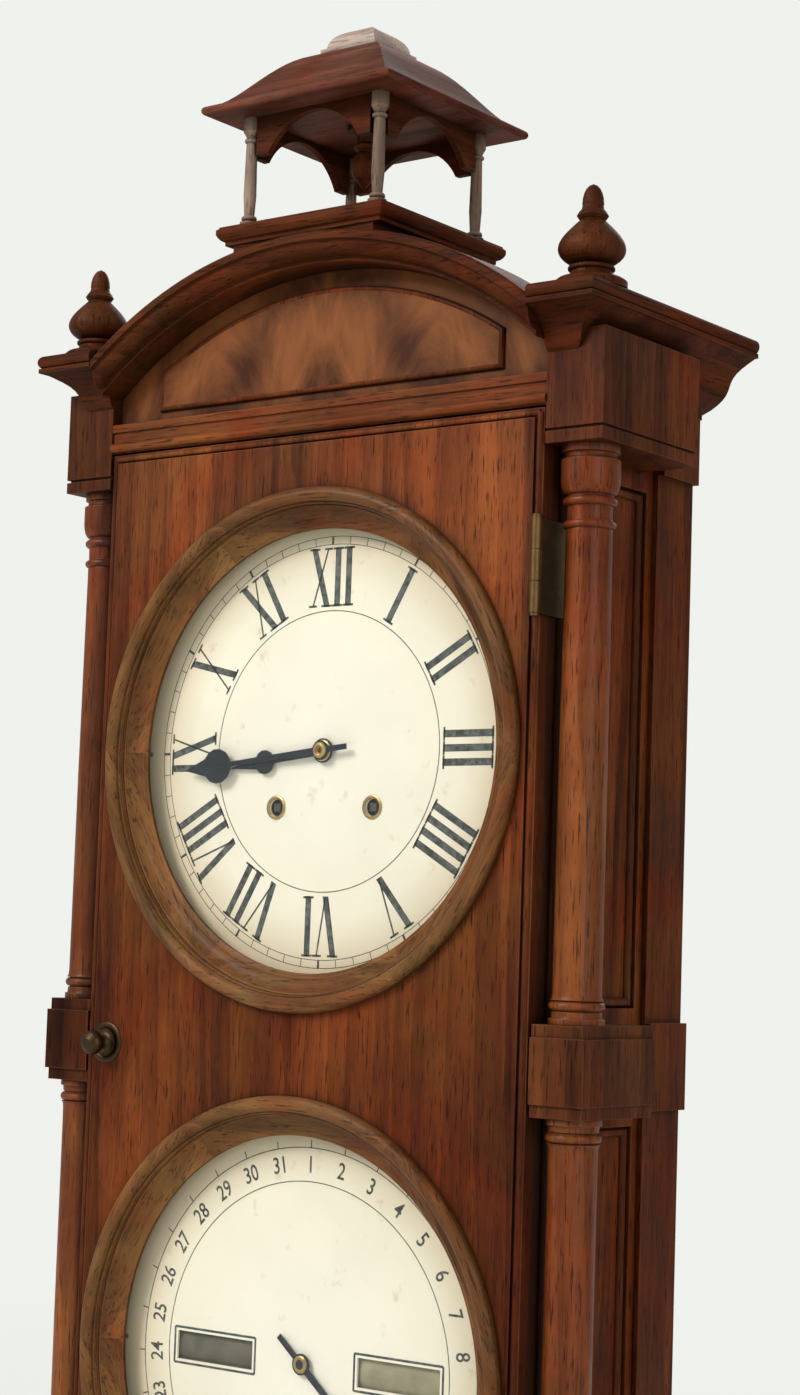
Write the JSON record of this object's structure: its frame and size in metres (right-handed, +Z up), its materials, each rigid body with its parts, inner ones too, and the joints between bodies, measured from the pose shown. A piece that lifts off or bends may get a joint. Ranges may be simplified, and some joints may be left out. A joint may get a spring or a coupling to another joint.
{
  "type": "calendar clock",
  "caption": "Walnut shelf calendar clock with two-stage turned columns, arched pediment, open canopy, a time dial above a calendar dial in one door, and its movement",
  "frame": {"origin": "middle of the base on the shelf", "axes": "+X to the clock's right as seen from the front, the dials face -Y, +Z up"},
  "size_m": [0.3, 0.136, 0.813],
  "materials": {
    "walnut": "old varnished walnut, satin",
    "dark_walnut": "darkened walnut, satin, worn at the edges",
    "figured_walnut": "figured veneer, satin",
    "worn_walnut": "turned wood with its finish rubbed thin, dull",
    "pine": "bare softwood, matt",
    "paper": "dial paper on a thin sheet, matt and yellowed",
    "roller": "wooden roller under dark printed paper, matt",
    "brass": "dull brass",
    "dark_steel": "dark iron and steel, satin",
    "blued_steel": "blued steel, satin",
    "glass": "old sheet glass, clear"
  },
  "bodies": {
    "case": {"plinth_boards": "dark_walnut", "base_slab": "dark_walnut", "base_moulding": "walnut", "base_rail": "walnut", "column_pedestals": "dark_walnut", "side_left": "walnut", "side_right": "walnut", "rear_pilasters": "walnut", "back_board": "pine", "column_lower_left": "walnut", "column_lower_right": "walnut", "mid_blocks": "dark_walnut", "column_upper_left": "walnut", "column_upper_right": "walnut", "capital_blocks": "dark_walnut", "cornice_mouldings": "walnut", "cornice_slab": "dark_walnut", "frieze_rail": "walnut", "tympanum": "figured_walnut", "arch_hood": "dark_walnut", "canopy_platform": "dark_walnut", "canopy_posts": "worn_walnut", "canopy_valances": "dark_walnut", "canopy_roof": "dark_walnut", "canopy_cap": "worn_walnut", "canopy_pendant": "dark_walnut", "finials": "dark_walnut", "dial_board": "pine", "time_dial": "paper", "calendar_dial": "paper", "movement_plates": "brass", "movement_pillars": "brass", "gong": "dark_steel", "hinge_case_leaves": "brass", "hinge_pins": "brass", "calendar_bracket": "dark_steel"},
    "door": {"door_frame": "walnut", "dial_ring_upper": "worn_walnut", "dial_ring_lower": "worn_walnut", "glass_upper": "glass", "glass_lower": "glass", "hinge_door_leaves": "brass"},
    "knob": {"door_knob": "brass"},
    "minute": {"cannon_pinion": "brass", "minute_hand": "blued_steel"},
    "minute_wheel_body": {"minute_wheel": "brass"},
    "hour": {"hour_wheel": "brass", "hour_hand": "blued_steel"},
    "centre": {"centre_wheel": "brass"},
    "third": {"third_wheel": "brass"},
    "escape": {"escape_wheel": "brass"},
    "verge_body": {"verge": "dark_steel"},
    "pendulum_body": {"pendulum": "brass"},
    "time_winding": {"winding_arbor_time": "dark_steel"},
    "strike_winding": {"winding_arbor_strike": "dark_steel"},
    "hammer_body": {"hammer": "dark_steel"},
    "calendar": {"calendar_hand": "blued_steel"},
    "day": {"day_roller": "roller"},
    "month": {"month_roller": "roller"},
    "lift": {"lift_rod": "dark_steel"}
  },
  "joints": [
    {"name": "door_swing", "type": "hinge", "parent": "case", "child": "door", "pos_m": [0.11705, -0.0474, 0.3685], "axis": [0, 0, 1], "range_deg": [0, 105]},
    {"name": "knob_turn", "type": "hinge", "parent": "door", "child": "knob", "pos_m": [-0.105, -0.045, 0.3685], "axis": [0, 1, 0], "range_deg": [-90, 0]},
    {"name": "minute_turn", "type": "hinge", "parent": "case", "child": "minute", "pos_m": [0, -0.0335, 0.496], "axis": [0, 1, 0], "continuous": true},
    {"name": "minute_wheel_turn", "type": "hinge", "parent": "case", "child": "minute_wheel_body", "pos_m": [-0.01559, -0.0055, 0.505], "axis": [0, 1, 0], "continuous": true},
    {"name": "hour_turn", "type": "hinge", "parent": "case", "child": "hour", "pos_m": [0, -0.0315, 0.496], "axis": [0, 1, 0], "continuous": true},
    {"name": "escape_turn", "type": "hinge", "parent": "case", "child": "escape", "pos_m": [0, 0.0283, 0.54031], "axis": [0, 1, 0], "continuous": true},
    {"name": "third_turn", "type": "hinge", "parent": "case", "child": "third", "pos_m": [0.01593, 0.0172, 0.52358], "axis": [0, 1, 0], "continuous": true},
    {"name": "centre_turn", "type": "hinge", "parent": "case", "child": "centre", "pos_m": [0, 0.0052, 0.496], "axis": [0, 1, 0], "continuous": true},
    {"name": "pendulum_swing", "type": "hinge", "parent": "case", "child": "pendulum_body", "pos_m": [0, 0.0503, 0.56431], "axis": [0, 1, 0], "range_deg": [-3.5, 3.5]},
    {"name": "verge_rock", "type": "hinge", "parent": "case", "child": "verge_body", "pos_m": [0, 0.0284, 0.56431], "axis": [0, 1, 0], "range_deg": [-3.5, 3.5]},
    {"name": "time_winding_turn", "type": "hinge", "parent": "case", "child": "time_winding", "pos_m": [0.026, -0.0225, 0.472], "axis": [0, 1, 0], "continuous": true},
    {"name": "strike_winding_turn", "type": "hinge", "parent": "case", "child": "strike_winding", "pos_m": [-0.026, -0.0225, 0.472], "axis": [0, 1, 0], "continuous": true},
    {"name": "hammer_swing", "type": "hinge", "parent": "case", "child": "hammer_body", "pos_m": [0.02, 0.039, 0.438], "axis": [0, -1, 0], "range_deg": [0, 12]},
    {"name": "day_turn", "type": "hinge", "parent": "case", "child": "day", "pos_m": [-0.049, -0.0139, 0.241], "axis": [1, 0, 0], "continuous": true},
    {"name": "calendar_turn", "type": "hinge", "parent": "case", "child": "calendar", "pos_m": [0, -0.0315, 0.241], "axis": [0, 1, 0], "continuous": true},
    {"name": "month_turn", "type": "hinge", "parent": "case", "child": "month", "pos_m": [0.049, -0.0089, 0.241], "axis": [1, 0, 0], "continuous": true},
    {"name": "lift_slide", "type": "slide", "parent": "case", "child": "lift", "axis": [0, 0, 1], "range_m": [0, 0.008]}
  ],
  "couplings": [
    {"joint": "minute_wheel_turn", "follows": "minute_turn", "ratio": -0.33333},
    {"joint": "hour_turn", "follows": "minute_turn", "ratio": 0.083333},
    {"joint": "third_turn", "follows": "escape_turn", "ratio": -0.1},
    {"joint": "centre_turn", "follows": "escape_turn", "ratio": 0.0083333},
    {"joint": "verge_rock", "follows": "pendulum_swing", "ratio": 1},
    {"joint": "calendar_turn", "follows": "day_turn", "ratio": 0.22581},
    {"joint": "month_turn", "follows": "day_turn", "ratio": 0.018817}
  ]
}
